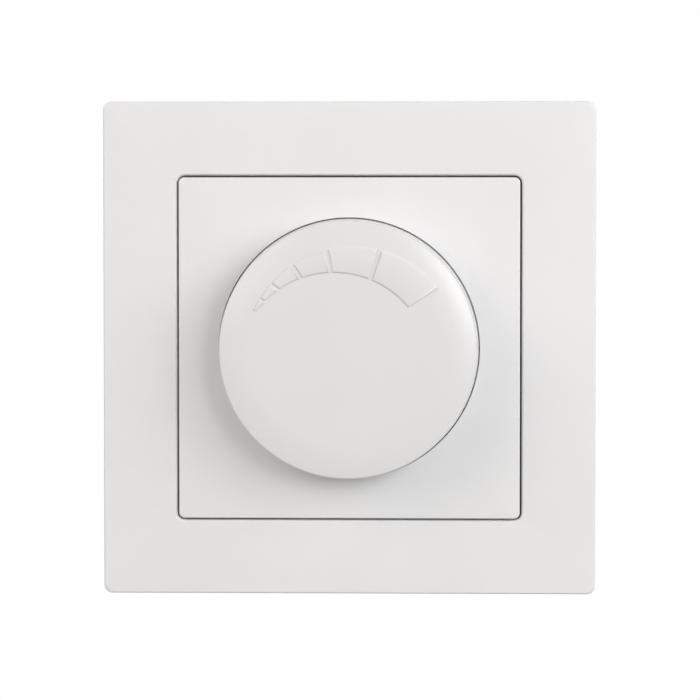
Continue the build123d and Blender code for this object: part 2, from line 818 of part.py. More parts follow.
def terminal_cages():
    """Three brass cages under the wire entries, bored for the wire and for the screw."""
    z = (board_rear - terminal_height, board_rear)
    y = terminal_y()
    wire_z = board_rear - terminal_height / 2
    cages = []
    for x in terminal_places:
        cage = block((x - terminal_width / 2, x + terminal_width / 2), y, z)
        cage -= block((x - terminal_wire / 2, x + terminal_wire / 2), (y[0], y[1] - terminal_back),
                      (wire_z - terminal_wire / 2, wire_z + terminal_wire / 2))
        cages.append(cage - post(terminal_screw_radius + thread_clear, (z[0], wire_z), (x, sum(y) / 2)))
    return cages


def terminal_screws():
    """Their headless screws, which a screwdriver reaches through the back of the housing."""
    bottom = board_rear - terminal_height
    y = sum(terminal_y()) / 2
    wire_top = board_rear - terminal_height / 2 - terminal_wire / 2
    return [post(terminal_screw_radius, (bottom - part_gap, wire_top), (x, y)) for x in terminal_places]


nodes = {
    "cover_frame": cover_frame(),
    "centre_plate": centre_plate(),
    "knob": knob(),
    "knob_spring": knob_spring(),
    "spindle": spindle(),
    "spindle_clip": spindle_clip(),
    "bush": bush(),
    "bush_nut": bush_nut(),
    "retaining_nut": retaining_nut(),
    "support_plate": support_plate(),
    "right_claw": right_claw(),
    "left_claw": mirror(right_claw(), Plane.YZ),
    "right_claw_screw": claw_screw(1),
    "left_claw_screw": claw_screw(-1),
    "housing": housing(),
    "housing_screws": housing_screws(),
    "circuit_board": circuit_board(),
    "pot_case": pot_case(),
    "pot_track": pot_track(),
    "pot_rotor": pot_rotor(),
    "pot_wiper": pot_wiper(),
    "switch_case": switch_case(),
    "switch_slider": switch_slider(),
    "contact_leaf": contact_leaf(),
    "fixed_contact": fixed_contact(),
    "triac": triac(),
    "triac_pad": triac_pad(),
    "triac_screw": triac_screw(),
    "choke_core": choke_core(),
    "choke_winding": choke_winding(),
    "film_capacitor": film_capacitor(),
    "fuse": fuse(),
    "fuse_clips": fuse_clips(),
    "timing_resistor": axial_part(resistor_radius, resistor_length, -board_part_pitch),
    "limit_resistor": axial_part(resistor_radius, resistor_length, 0),
    "diac": axial_part(diac_radius, diac_length, board_part_pitch),
    "timing_capacitor": timing_capacitor(),
    "terminal_cages": terminal_cages(),
    "terminal_screws": terminal_screws(),
}

# What the joints need: the pivots, and the turns that a claw's screw makes over the claw's swing.
swing = math.radians(claw_swing)
rise = claw_arm * math.sin(swing) + claw_tab_drop * (1 - math.cos(swing))
print("claw pivot", claw_pivot, "claw screw at", claw_screw_x)
print("claw screw turns", round(rise / claw_screw_pitch, 4), "knob top", knob_top, "well floor", well_top)

os.makedirs("parts", exist_ok=True)
for name, shape in nodes.items():
    pieces = shape if isinstance(shape, list) else [shape]
    upright = [solid for piece in pieces for solid in (Rot(90, 0, 0) * piece).solids()]
    export_step(upright[0] if len(upright) == 1 else Compound(upright), f"parts/{name}.step")
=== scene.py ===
# %% [markdown]
# # A rotary dimmer switch, dressed in Blender
#
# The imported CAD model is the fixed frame. It has the real sizes of every piece, so this script only adds
# what the eye needs: a smoother knob, threaded claw screws, the finish of each surface, soft studio light
# and the camera of the photograph. Blender works in metres, so sizes in millimetres are multiplied by MM.
# The front faces -Y, +Z is up, and the wall's surface is the plane y = 0.

# %% Load the frame
import json
import math

import bpy
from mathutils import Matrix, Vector


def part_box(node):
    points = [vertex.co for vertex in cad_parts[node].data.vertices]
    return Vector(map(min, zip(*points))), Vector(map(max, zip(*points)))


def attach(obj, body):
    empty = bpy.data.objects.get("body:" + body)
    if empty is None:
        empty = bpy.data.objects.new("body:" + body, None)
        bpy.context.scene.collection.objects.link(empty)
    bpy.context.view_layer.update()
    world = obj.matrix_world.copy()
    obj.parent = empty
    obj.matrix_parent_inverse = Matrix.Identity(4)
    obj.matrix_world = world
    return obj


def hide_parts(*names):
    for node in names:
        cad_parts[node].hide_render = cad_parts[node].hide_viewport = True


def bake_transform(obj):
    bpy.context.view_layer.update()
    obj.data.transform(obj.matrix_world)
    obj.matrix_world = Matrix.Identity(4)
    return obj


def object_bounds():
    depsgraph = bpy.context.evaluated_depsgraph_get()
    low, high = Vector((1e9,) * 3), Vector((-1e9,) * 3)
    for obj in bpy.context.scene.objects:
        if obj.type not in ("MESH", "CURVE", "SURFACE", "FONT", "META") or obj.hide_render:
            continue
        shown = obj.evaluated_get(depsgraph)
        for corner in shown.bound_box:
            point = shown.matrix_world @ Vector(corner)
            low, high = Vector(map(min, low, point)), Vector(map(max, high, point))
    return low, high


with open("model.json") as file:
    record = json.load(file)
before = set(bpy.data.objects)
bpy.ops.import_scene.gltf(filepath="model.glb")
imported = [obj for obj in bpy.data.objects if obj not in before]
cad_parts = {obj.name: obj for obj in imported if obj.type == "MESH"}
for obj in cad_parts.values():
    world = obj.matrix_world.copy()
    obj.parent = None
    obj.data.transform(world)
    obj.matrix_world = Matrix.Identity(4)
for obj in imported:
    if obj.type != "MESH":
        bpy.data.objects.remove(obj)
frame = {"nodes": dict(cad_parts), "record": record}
nodes = frame["nodes"]
bpy.context.view_layer.update()
cad_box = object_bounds()
MM = 0.001
print("loaded", len(nodes), "CAD nodes, box", [round(v / MM, 1) for corner in cad_box for v in corner])

# %% [markdown]
# ## Working with operators
#
# An operator acts on whatever is selected, and loading leaves the CAD nodes selected. So every piece
# starts with nothing selected. A finished piece has its place, turn and scale applied to its mesh,
# because the export puts every object at the origin. A spun or cut mesh is closed by merging its doubles,
# and then its faces are turned outwards.


# %% Pick, join, place and close
def start_clean():
    if bpy.context.mode != "OBJECT":
        bpy.ops.object.mode_set(mode="OBJECT")
    bpy.ops.object.select_all(action="DESELECT")


def pick(piece):
    """Only this piece is selected, and it is the active one."""
    start_clean()
    piece.select_set(True)
    bpy.context.view_layer.objects.active = piece


def join_into(piece, others):
    """The others' meshes become part of this piece's mesh."""
    pick(piece)
    for other in others:
        other.select_set(True)
    bpy.ops.object.join()


def place_in_mesh(piece):
    """The piece's object ends at the origin, unturned and unscaled, with its place in its mesh."""
    pick(piece)
    bpy.ops.object.transform_apply(location=True, rotation=True, scale=True)


def close_and_turn_out():
    """In edit mode: doubles merged, then all faces turned outwards."""
    bpy.ops.mesh.select_all(action="SELECT")
    bpy.ops.mesh.remove_doubles(threshold=0.002 * MM)
    bpy.ops.mesh.normals_make_consistent(inside=False)


# %% [markdown]
# ## The knob's cup
#
# The real knob is one thin moulding: a flat face that runs over a long soft crown into a small round rim,
# and a skirt that sinks into the plate's well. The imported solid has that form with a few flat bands,
# which would show as rings of light. Here the outline is drawn as one line of vertices, with the crown as
# a real arc, and spun once round the knob's axis, as a lathe would turn it.


# %% Drawing an outline and spinning it
def draw_outline(name, points):
    """One vertex, drawn on from point to point: (radius, height above the wall), in millimetres."""
    start_clean()
    bpy.ops.mesh.primitive_plane_add(size=MM, location=(0, 0, 0))
    piece = bpy.context.object
    piece.name = piece.data.name = name
    bpy.ops.object.mode_set(mode="EDIT")
    bpy.ops.mesh.select_all(action="SELECT")
    bpy.ops.mesh.merge(type="CENTER")
    at = Vector((points[0][0] * MM, -points[0][1] * MM, 0))
    bpy.ops.transform.translate(value=at)
    for radius, height in points[1:]:
        to = Vector((radius * MM, -height * MM, 0))
        bpy.ops.mesh.extrude_vertices_move(TRANSFORM_OT_translate={"value": to - at})
        at = to
    return piece


def spin_round(steps):
    """In edit mode: the outline is spun once round the Y axis, and its surface is closed."""
    bpy.ops.mesh.select_all(action="SELECT")
    bpy.ops.mesh.spin(steps=steps, angle=2 * math.pi, center=(0, 0, 0), axis=(0, 1, 0))
    close_and_turn_out()
    bpy.ops.object.mode_set(mode="OBJECT")


def arc_points(middle, radius, start, end, steps, first=0):
    """Points of an arc round a middle. Its angles are measured from the direction of the knob's axis."""
    turns_at = [start + (end - start) * k / steps for k in range(first, steps + 1)]
    return [(middle[0] + radius * math.sin(a), middle[1] + radius * math.cos(a)) for a in turns_at]


# %% [markdown]
# The knob's radius, back and front come from the frame. The crown is the arc that drops by `crown_drop`
# from the flat to the rim, so its radius and angle follow from those two. Two rings on the flat face keep
# the long faces that the scale's union makes away from the crown.

# %% The knob's outline
knob_low, knob_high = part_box("knob")
knob_radius = (knob_high.x - knob_low.x) / 2 / MM
knob_back = -knob_high.y / MM
scale_height = 0.28
knob_top = -knob_low.y / MM - scale_height
flat_radius = 15.5
flat_rings = (8, flat_radius - 0.4)
crown_drop = 0.55
crown_steps = 24
rim_edge = 0.35
rim_steps = 8
knob_wall = 1.6
foot_edge = 0.1
side_draft = 0.42
shoulder = knob_radius - side_draft
crown_width = shoulder - rim_edge - flat_radius
crown_radius = (crown_width**2 + crown_drop**2) / (2 * crown_drop)
crown_angle = math.asin(crown_width / crown_radius)
crown_middle = (flat_radius, knob_top - crown_radius)
rim_middle = (shoulder - rim_edge, knob_top - crown_drop - rim_edge)
under_face = knob_top - knob_wall
outline = [(0, knob_top)]
outline += [(radius, knob_top) for radius in flat_rings]
outline += arc_points(crown_middle, crown_radius, 0, crown_angle, crown_steps)
outline += arc_points(rim_middle, rim_edge, crown_angle, math.pi / 2, rim_steps, first=1)
outline += [
    (knob_radius, knob_back + foot_edge),
    (knob_radius - foot_edge, knob_back),
    (shoulder - knob_wall, knob_back),
    (shoulder - knob_wall, under_face - crown_drop),
    (flat_radius, under_face - crown_drop),
    (flat_radius, under_face),
    (0, under_face),
]
knob = draw_outline("knob_moulding", outline)
print("the knob's outline has", len(outline), "points, crown radius", round(crown_radius, 2), "mm")

# %% Spin it
knob_steps = 180
spin_round(knob_steps)
print("the knob's cup has", len(knob.data.polygons), "faces")

# %% [markdown]
# ## The raised scale
#
# Two circles that meet at the left bound the scale, and rays from the knob's middle cut it into six
# blocks that grow to the right. Each block starts as the two arcs between its rays: circles cut by two
# planes. A bridge makes the face between them, and an inset that also lifts the face gives the sloping
# edges that catch the light. A narrow block gets a steeper edge, so that its two edges don't meet. The
# bevel lifts a few points at the sharp tip, and these are pressed back to the height of the blocks.


# %% Picking points and edges by their place
def select_where(kind, test):
    """In edit mode, selects the vertices or edges whose middle passes the test, and counts them."""
    bpy.ops.mesh.select_mode(type=kind)
    bpy.ops.mesh.select_all(action="DESELECT")
    bpy.ops.object.mode_set(mode="OBJECT")
    mesh = bpy.context.object.data
    points = mesh.vertices
    count = 0
    for element in points if kind == "VERT" else mesh.edges:
        ends = [element] if kind == "VERT" else [points[index] for index in element.vertices]
        element.select = test(sum((end.co for end in ends), Vector()) / len(ends))
        count += element.select
    bpy.ops.object.mode_set(mode="EDIT")
    return count


# %% Sizes of the scale
outer_arc = (18.22, 0.84, -0.86)
inner_arc = (16.28, -2.28, -3.32)
arc_sides = 360
block_spans = [
    (-66.8, -60.2),
    (-59.2, -49.5),
    (-48.2, -33.8),
    (-32.1, -12.9),
    (-10.9, 16.9),
    (18.8, 55.4),
]
edge_slope = 0.25
slope_share = 0.026
edge_round = 0.05
edge_segments = 2
block_root = 0.4
print("the scale runs from", block_spans[0][0], "to", block_spans[-1][1], "degrees, clockwise from the top")


# %% An arc between two rays
def arc_between(radius, x, z, span):
    """The part of a circle on the knob's face that lies between two rays from the knob's middle."""
    middle = (x * MM, -knob_top * MM, z * MM)
    facing_out = (math.pi / 2, 0, 0)
    bpy.ops.mesh.primitive_circle_add(
        vertices=arc_sides, radius=radius * MM, location=middle, rotation=facing_out
    )
    arc = bpy.context.object
    bpy.ops.object.transform_apply(location=True, rotation=True, scale=True)
    bpy.ops.object.mode_set(mode="EDIT")
    for angle, side in ((span[0], 1), (span[1], -1)):
        turn = math.radians(angle)
        kept_side = (side * math.cos(turn), 0, -side * math.sin(turn))
        bpy.ops.mesh.select_all(action="SELECT")
        bpy.ops.mesh.bisect(plane_co=(0, 0, 0), plane_no=kept_side, clear_inner=True)
    bpy.ops.object.mode_set(mode="OBJECT")
    return arc


# %% The face between two arcs
def face_between(outer, inner):
    """Bridges two arcs to one face that looks out of the knob."""
    join_into(inner, [outer])
    bpy.ops.object.mode_set(mode="EDIT")
    bpy.ops.mesh.select_mode(type="EDGE")
    bpy.ops.mesh.select_all(action="SELECT")
    bpy.ops.mesh.bridge_edge_loops()
    bpy.ops.mesh.select_all(action="SELECT")
    bpy.ops.mesh.normals_make_consistent(inside=False)
    bpy.ops.object.mode_set(mode="OBJECT")
    looks_in = sum(face.normal.y * face.area for face in inner.data.polygons) > 0
    bpy.ops.object.mode_set(mode="EDIT")
    if looks_in:
        bpy.ops.mesh.flip_normals()
    return inner


# %% One block
def scale_block(span):
    start_clean()
    outer = arc_between(*outer_arc, span)
    start_clean()
    piece = face_between(outer, arc_between(*inner_arc, span))
    bpy.ops.mesh.select_mode(type="FACE")
    bpy.ops.mesh.select_all(action="SELECT")
    slope = min(edge_slope, slope_share * (span[1] - span[0]))
    bpy.ops.mesh.inset(thickness=slope * MM, depth=scale_height * MM, use_even_offset=True)
    bpy.ops.mesh.region_to_loop()
    bpy.ops.mesh.bevel(offset=edge_round * MM, segments=edge_segments, affect="EDGES")
    bpy.ops.mesh.select_mode(type="EDGE")
    bpy.ops.mesh.select_all(action="DESELECT")
    bpy.ops.mesh.select_non_manifold()
    bpy.ops.mesh.extrude_region_move(TRANSFORM_OT_translate={"value": (0, block_root * MM, 0)})
    bpy.ops.mesh.edge_face_add()
    close_and_turn_out()
    top = -(knob_top + scale_height) * MM
    if select_where("VERT", lambda at: at.y < top):
        bpy.ops.transform.resize(value=(1, 0, 1), center_override=(0, top, 0))
    bpy.ops.object.mode_set(mode="OBJECT")
    return piece


# %% All six blocks
blocks = [scale_block(span) for span in block_spans]
scale = blocks[0]
join_into(scale, blocks[1:])
print("the scale has", len(blocks), "blocks and", len(scale.data.polygons), "faces")

# %% [markdown]
# A union makes the blocks one skin with the face, as in the mould, so no block can show a loose edge.


# %% Join the scale to the cup
def combine(piece, tool, operation):
    """A union with the tool or a cut by it. The tool is used up."""
    pick(piece)
    change = piece.modifiers.new("combine", "BOOLEAN")
    change.operation = operation
    change.solver = "EXACT"
    change.object = tool
    bpy.ops.object.modifier_apply(modifier="combine")
    bpy.data.objects.remove(tool)


combine(knob, scale, "UNION")
print("knob with its scale:", len(knob.data.polygons), "faces")

# %% [markdown]
# ## Inside the knob
#
# Seen from behind, the knob is a hollow cup. A bored boss takes the spindle, and four ribs join it to the
# skirt. The boss is an outline spun as the cup was. Each rib is a cube stretched from the boss to the
# skirt, with the two edges at its back rounded.

# %% The boss
boss_radius = 5.0
bore_radius = 3.06
boss_back = 12.0
boss_edge = 0.2
boss_steps = 64
into_face = 0.2
boss = draw_outline(
    "knob_boss",
    [
        (bore_radius, under_face + into_face),
        (bore_radius, boss_back),
        (boss_radius - boss_edge, boss_back),
        (boss_radius, boss_back + boss_edge),
        (boss_radius, under_face + into_face),
    ],
)
spin_round(boss_steps)
print("the boss has", len(boss.data.polygons), "faces")

# %% Four ribs
rib_back = 12.1
rib_front = under_face + into_face
rib_thick = 1.0
rib_edge = 0.25
rib_segments = 3
overlap = 0.4
rib_start = boss_radius - overlap
rib_end = shoulder - knob_wall + overlap
near = 0.1


def at_rib_back(at):
    return at.y > -(rib_back + near) * MM and abs(at.z) > (rib_thick / 2 - near) * MM


ribs = []
for turn in range(4):
    start_clean()
    rib_place = ((rib_start + rib_end) / 2 * MM, -(rib_back + rib_front) / 2 * MM, 0)
    bpy.ops.mesh.primitive_cube_add(size=1, location=rib_place)
    rib = bpy.context.object
    rib.scale = ((rib_end - rib_start) * MM, (rib_front - rib_back) * MM, rib_thick * MM)
    place_in_mesh(rib)
    bpy.ops.object.mode_set(mode="EDIT")
    select_where("EDGE", at_rib_back)
    bpy.ops.mesh.bevel(offset=rib_edge * MM, segments=rib_segments, affect="EDGES")
    bpy.ops.mesh.select_all(action="SELECT")
    bpy.ops.transform.rotate(value=math.pi / 2 * turn, orient_axis="Y", center_override=(0, 0, 0))
    bpy.ops.object.mode_set(mode="OBJECT")
    ribs.append(rib)
print("made", len(ribs), "ribs from", round(rib_start, 2), "to", round(rib_end, 2), "mm")

# %% The whole knob
knob_crease = math.radians(28)
join_into(knob, [boss, *ribs])
place_in_mesh(knob)
bpy.ops.object.shade_smooth_by_angle(angle=knob_crease)
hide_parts("knob")
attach(knob, "knob")
print("knob:", len(knob.data.polygons), "faces, riding with the body knob")

# %% [markdown]
# ## The frame and the centre plate
#
# The real mouldings have small roundings along the outer edge, the mouth and the well, and each of them
# catches a thin line of light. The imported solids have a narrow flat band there. A merged copy keeps their
# exact form, and normals weighted by the size of the faces let each band shade like a rounding, while the
# large faces stay flat.


# %% Soft-edged copies
soft_crease = math.radians(50)


def soft_copy(node_name):
    """A merged copy of a CAD node's mesh, with a modifier that weighs its normals."""
    piece = bpy.data.objects.new(node_name + "_soft", nodes[node_name].data.copy())
    bpy.context.scene.collection.objects.link(piece)
    pick(piece)
    bpy.ops.object.mode_set(mode="EDIT")
    bpy.ops.mesh.select_all(action="SELECT")
    bpy.ops.mesh.remove_doubles(threshold=0.001 * MM)
    bpy.ops.object.mode_set(mode="OBJECT")
    bpy.ops.object.shade_smooth_by_angle(angle=soft_crease)
    weigh = piece.modifiers.new("weigh", "WEIGHTED_NORMAL")
    weigh.keep_sharp = True
    weigh.weight = 100
    return piece


def keep_copy(piece, node_name):
    """The copy stands for its CAD node, and stays with the fixed pieces."""
    pick(piece)
    bpy.ops.object.modifier_apply(modifier="weigh")
    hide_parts(node_name)
    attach(piece, "root")


frame_piece = soft_copy("cover_frame")
keep_copy(frame_piece, "cover_frame")
print("frame:", len(frame_piece.data.polygons), "faces")

# %% [markdown]
# The plate's well is drawn in a little, because the real gap round the knob is barely wider than a hair.
# Its points are picked by their distance from the knob's axis, and only near the plate's face.

# %% The centre plate
well_radius = 22.3
narrowed_radius = 22.16
search_radii = (22.2, 22.6)
search_back = 5.5


def on_the_well(at):
    radius = math.hypot(at.x, at.z)
    return search_radii[0] * MM < radius < search_radii[1] * MM and at.y < -search_back * MM


plate_piece = soft_copy("centre_plate")
bpy.ops.object.mode_set(mode="EDIT")
ring = select_where("VERT", on_the_well)
narrow = narrowed_radius / well_radius
bpy.ops.transform.resize(value=(narrow, 1, narrow), center_override=(0, 0, 0))
bpy.ops.object.mode_set(mode="OBJECT")
keep_copy(plate_piece, "centre_plate")
print("plate copied, with", ring, "points of the well drawn in")

# %% [markdown]
# ## The leaf spring
#
# Inside the housing the knob's slider presses a leaf spring on to its contact. The leaf is fixed at one
# end, so a rigid leaf would cut into the slider. A merged copy is cut across at nine places between its
# fixed end and the middle of the slider; the copy itself is not bent here.

# %% A leaf cut into parts
leaf_parts = 10
leaf = soft_copy("contact_leaf")
leaf_low, leaf_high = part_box("contact_leaf")
slider_low, slider_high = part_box("switch_slider")
fixed_x = leaf_low.x
pressed_x = (slider_low.x + slider_high.x) / 2
bpy.ops.object.modifier_apply(modifier="weigh")
bpy.ops.object.mode_set(mode="EDIT")
for cut in range(1, leaf_parts):
    cut_x = fixed_x + (pressed_x - fixed_x) * cut / leaf_parts
    bpy.ops.mesh.select_all(action="SELECT")
    bpy.ops.mesh.bisect(plane_co=(cut_x, 0, 0), plane_no=(1, 0, 0))
bpy.ops.object.mode_set(mode="OBJECT")
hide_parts("contact_leaf")
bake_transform(leaf)
print("the leaf bends from x =", round(fixed_x / MM, 2), "to", round(pressed_x / MM, 2), "mm")

# %% [markdown]
# ## The claws' screws
#
# The two screws that spread the claws show from behind, so they get a real thread. The outline of one
# turn of the thread goes round the screw's axis with the Screw modifier and climbs by one pitch each
# time. A plain core with a small cone is inside it, and a round head with a slot sits on the plate.

# %% Sizes of the screw
screw_low, screw_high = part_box("right_claw_screw")
screw_x = (screw_low.x + screw_high.x) / 2 / MM
head_radius = (screw_high.x - screw_low.x) / 2 / MM
head_top = -screw_low.y / MM
shank_end = -screw_high.y / MM
head_thick = 1.4
head_under_edge = 0.15
head_top_edge = 0.3
slot_deep = 0.6
slot_wide = 0.7
thread_outer = 1.5
thread_core = 1.2
pitch = 0.5
flank_heights = (0.08, 0.24, 0.31)
plain_tip = 1.0
tip_cone = (0.35, 0.4)
thread_steps = 20
body_steps = 40
head_under = head_top - head_thick
turns = int((head_under - shank_end - plain_tip) / pitch)
thread_end = head_under - turns * pitch
print("the thread has", turns, "turns and ends", round(-thread_end, 2), "mm behind the wall's surface")

# %% The thread
thread = draw_outline(
    "claw_screw_thread",
    [
        (thread_core, 0),
        (thread_core, flank_heights[0]),
        (thread_outer, flank_heights[1]),
        (thread_outer, flank_heights[2]),
        (thread_core, pitch),
    ],
)
bpy.ops.mesh.select_all(action="SELECT")
bpy.ops.transform.translate(value=(0, -thread_end * MM, 0))
bpy.ops.object.mode_set(mode="OBJECT")
climb = thread.modifiers.new("climb", "SCREW")
climb.axis = "Y"
climb.steps = climb.render_steps = thread_steps
climb.screw_offset = -pitch * MM
climb.iterations = turns
climb.use_merge_vertices = True
climb.merge_threshold = 0.001 * MM
bpy.ops.object.modifier_apply(modifier="climb")
print("thread:", len(thread.data.polygons), "faces")

# %% Core, tip and slotted head
body = draw_outline(
    "claw_screw_body",
    [
        (0, shank_end),
        (thread_core - tip_cone[0], shank_end),
        (thread_core, shank_end + tip_cone[1]),
        (thread_core, head_under),
        (head_radius - head_under_edge, head_under),
        (head_radius, head_under + head_under_edge),
        (head_radius, head_top - head_top_edge),
        (head_radius - head_top_edge, head_top),
        (0, head_top),
    ],
)
spin_round(body_steps)
cutter_deep = 2
start_clean()
bpy.ops.mesh.primitive_cube_add(size=1, location=(0, -(head_top + cutter_deep / 2 - slot_deep) * MM, 0))
slot_cutter = bpy.context.object
slot_cutter.scale = (slot_wide * MM, cutter_deep * MM, 4 * head_radius * MM)
place_in_mesh(slot_cutter)
combine(body, slot_cutter, "DIFFERENCE")
print("head and core:", len(body.data.polygons), "faces")

# %% [markdown]
# Each screw is a copy with a mesh of its own, moved to its side of the plate.

# %% Both claw screws
screw_crease = math.radians(30)
claw_screws = []
for side, name in ((1, "right_claw_screw"), (-1, "left_claw_screw")):
    twins = []
    for source in (thread, body):
        twin = bpy.data.objects.new(name + "_threaded", source.data.copy())
        bpy.context.scene.collection.objects.link(twin)
        twins.append(twin)
    screw = twins[0]
    join_into(screw, twins[1:])
    screw.location = (side * screw_x * MM, 0, 0)
    place_in_mesh(screw)
    bpy.ops.object.shade_smooth_by_angle(angle=screw_crease)
    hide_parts(name)
    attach(screw, name)
    claw_screws.append(screw)
for source in (thread, body):
    bpy.data.objects.remove(source)
print("claw screws at x =", round(screw_x, 2), "mm and its mirror place")

# %% [markdown]
# ## Shared effects for the finishes
#
# Moulded plastic is never one colour: the mould leaves a fine grain, and the tone drifts a little from
# place to place. Metal shows the direction that it was rolled or turned in. These effects are node
# groups, built once with named inputs and outputs, and each material sets its own amounts. They read
# Object coordinates in metres.


# %% Building node groups
def new_group(name, inputs, outputs):
    tree = bpy.data.node_groups.new(name, "ShaderNodeTree")
    for label, kind, value in inputs:
        socket = tree.interface.new_socket(label, in_out="INPUT", socket_type=kind)
        if value is not None:
            socket.default_value = value
    for label, kind in outputs:
        tree.interface.new_socket(label, in_out="OUTPUT", socket_type=kind)
    return tree, tree.nodes.new("NodeGroupInput"), tree.nodes.new("NodeGroupOutput")


def add_node(tree, kind, settings=None, **values):
    """A node with its settings and its plain socket values. An underscore in a value's name is a space."""
    node = tree.nodes.new(kind)
    for key, value in (settings or {}).items():
        setattr(node, key, value)
    for key, value in values.items():
        node.inputs[key.replace("_", " ")].default_value = value
    return node


# %% Moulded grain
grain_tree, grain_in, grain_out = new_group(
    "moulded_grain",
    [
        ("Position", "NodeSocketVector", None),
        ("Grain Scale", "NodeSocketFloat", 3500.0),
        ("Drift Scale", "NodeSocketFloat", 45.0),
    ],
    [("Height", "NodeSocketFloat"), ("Drift", "NodeSocketFloat")],
)
fine = add_node(grain_tree, "ShaderNodeTexNoise", Detail=2.0, Roughness=0.6)
drift = add_node(grain_tree, "ShaderNodeTexNoise", Detail=3.0, Roughness=0.55)
for noise, scale_input, output in ((fine, "Grain Scale", "Height"), (drift, "Drift Scale", "Drift")):
    grain_tree.links.new(grain_in.outputs["Position"], noise.inputs["Vector"])
    grain_tree.links.new(grain_in.outputs[scale_input], noise.inputs["Scale"])
    grain_tree.links.new(noise.outputs["Fac"], grain_out.inputs[output])
print("group", grain_tree.name)

# %% Rolled or turned marks
marks_tree, marks_in, marks_out = new_group(
    "metal_marks",
    [
        ("Position", "NodeSocketVector", None),
        ("Stretch", "NodeSocketVector", (60.0, 4000.0, 4000.0)),
        ("Blotch Scale", "NodeSocketFloat", 220.0),
    ],
    [("Height", "NodeSocketFloat"), ("Blotch", "NodeSocketFloat")],
)
stretch = add_node(marks_tree, "ShaderNodeVectorMath", {"operation": "MULTIPLY"})
streaks = add_node(marks_tree, "ShaderNodeTexNoise", Scale=1.0, Detail=3.0, Roughness=0.7)
blotch = add_node(marks_tree, "ShaderNodeTexNoise", Detail=4.0, Roughness=0.6)
marks_tree.links.new(marks_in.outputs["Position"], stretch.inputs[0])
marks_tree.links.new(marks_in.outputs["Stretch"], stretch.inputs[1])
marks_tree.links.new(stretch.outputs[0], streaks.inputs["Vector"])
marks_tree.links.new(marks_in.outputs["Position"], blotch.inputs["Vector"])
marks_tree.links.new(marks_in.outputs["Blotch Scale"], blotch.inputs["Scale"])
marks_tree.links.new(streaks.outputs["Fac"], marks_out.inputs["Height"])
marks_tree.links.new(blotch.outputs["Fac"], marks_out.inputs["Blotch"])
print("group", marks_tree.name)

# %% [markdown]
# ## A material from a group
#
# Each finish is a Principled BSDF. A colour ramp turns the slow drift into two near tones, a second one
# turns it into a small change of roughness, and the fine pattern goes into a Bump node. What is the same
# all over a surface, such as the index of refraction, is set on the shader's own socket.

# %% The start of a material
finishes = {}


def start_material(name, roughness, group_tree, **sockets):
    """A material with its shader set and one effect group that reads Object coordinates."""
    material = bpy.data.materials.new(name)
    material.use_nodes = True
    tree = material.node_tree
    shader = tree.nodes["Principled BSDF"]
    shader.inputs["Roughness"].default_value = roughness
    for key, value in sockets.items():
        shader.inputs[key.replace("_", " ")].default_value = value
    place = tree.nodes.new("ShaderNodeTexCoord")
    group = tree.nodes.new("ShaderNodeGroup")
    group.node_tree = group_tree
    tree.links.new(place.outputs["Object"], group.inputs["Position"])
    finishes[name] = material
    return material, tree, shader, group


# %% Tones and relief
noise_middle = (0.3, 0.7)


def ramp_between(tree, source, low, high):
    """Turns the middle of a noise's range into a change from one colour or grey value to another."""
    ramp = tree.nodes.new("ShaderNodeValToRGB")
    for element, position, value in zip(ramp.color_ramp.elements, noise_middle, (low, high)):
        element.position = position
        element.color = (value, value, value, 1) if isinstance(value, float) else (*value, 1)
    tree.links.new(source, ramp.inputs["Fac"])
    return ramp.outputs["Color"]


def vary(tree, shader, pattern, low, high, roughness, spread):
    """The slow pattern changes the base colour and the roughness a little."""
    tree.links.new(ramp_between(tree, pattern, low, high), shader.inputs["Base Color"])
    rough = ramp_between(tree, pattern, roughness - spread, roughness + spread)
    tree.links.new(rough, shader.inputs["Roughness"])


def add_bump(tree, shader, height, depth, strength):
    """The fine pattern as relief, with its depth in millimetres."""
    bump = add_node(tree, "ShaderNodeBump", Distance=depth * MM, Strength=strength)
    tree.links.new(height, bump.inputs["Height"])
    tree.links.new(bump.outputs["Normal"], shader.inputs["Normal"])


# %% Plastic and metal
def plastic(
    name, low, high, roughness, grain=3500.0, drift=45.0, depth=0.02, strength=0.25, spread=0.05, **sockets
):
    """Low and high are the two near tones. The bump's depth is in millimetres."""
    material, tree, shader, group = start_material(name, roughness, grain_tree, **sockets)
    group.inputs["Grain Scale"].default_value = grain
    group.inputs["Drift Scale"].default_value = drift
    vary(tree, shader, group.outputs["Drift"], low, high, roughness, spread)
    add_bump(tree, shader, group.outputs["Height"], depth, strength)
    return material


def metal(
    name, low, high, roughness, stretch=(60.0, 4000.0, 4000.0), blotch=220.0, depth=0.01, strength=0.3,
    spread=0.08,
):
    """The marks run along the axis with the smallest stretch."""
    material, tree, shader, group = start_material(name, roughness, marks_tree, Metallic=1.0)
    group.inputs["Stretch"].default_value = stretch
    group.inputs["Blotch Scale"].default_value = blotch
    vary(tree, shader, group.outputs["Blotch"], low, high, roughness, spread)
    add_bump(tree, shader, group.outputs["Height"], depth, strength)
    return material


# %% [markdown]
# The frame and the plate are one white, half-glossy moulding that lets a little light in under its skin.
# The knob is a slightly darker and glossier one, so its crown holds a band of light.

# %% White mouldings
plastic(
    "white_moulding", (0.772, 0.770, 0.776), (0.790, 0.787, 0.792), 0.36, IOR=1.5,
    Subsurface_Weight=0.15, Subsurface_Radius=(1.0, 0.75, 0.6), Subsurface_Scale=0.0006,
)
plastic("knob_moulding", (0.735, 0.726, 0.728), (0.748, 0.738, 0.74), 0.2, spread=0.03, IOR=1.5)
print("white finishes:", len(finishes))

# %% [markdown]
# The housing is a matt grey moulding, and inside it lie the dull browns, blacks and bright caps of a
# board's parts. They hardly show, but each has the colour that such a part has.

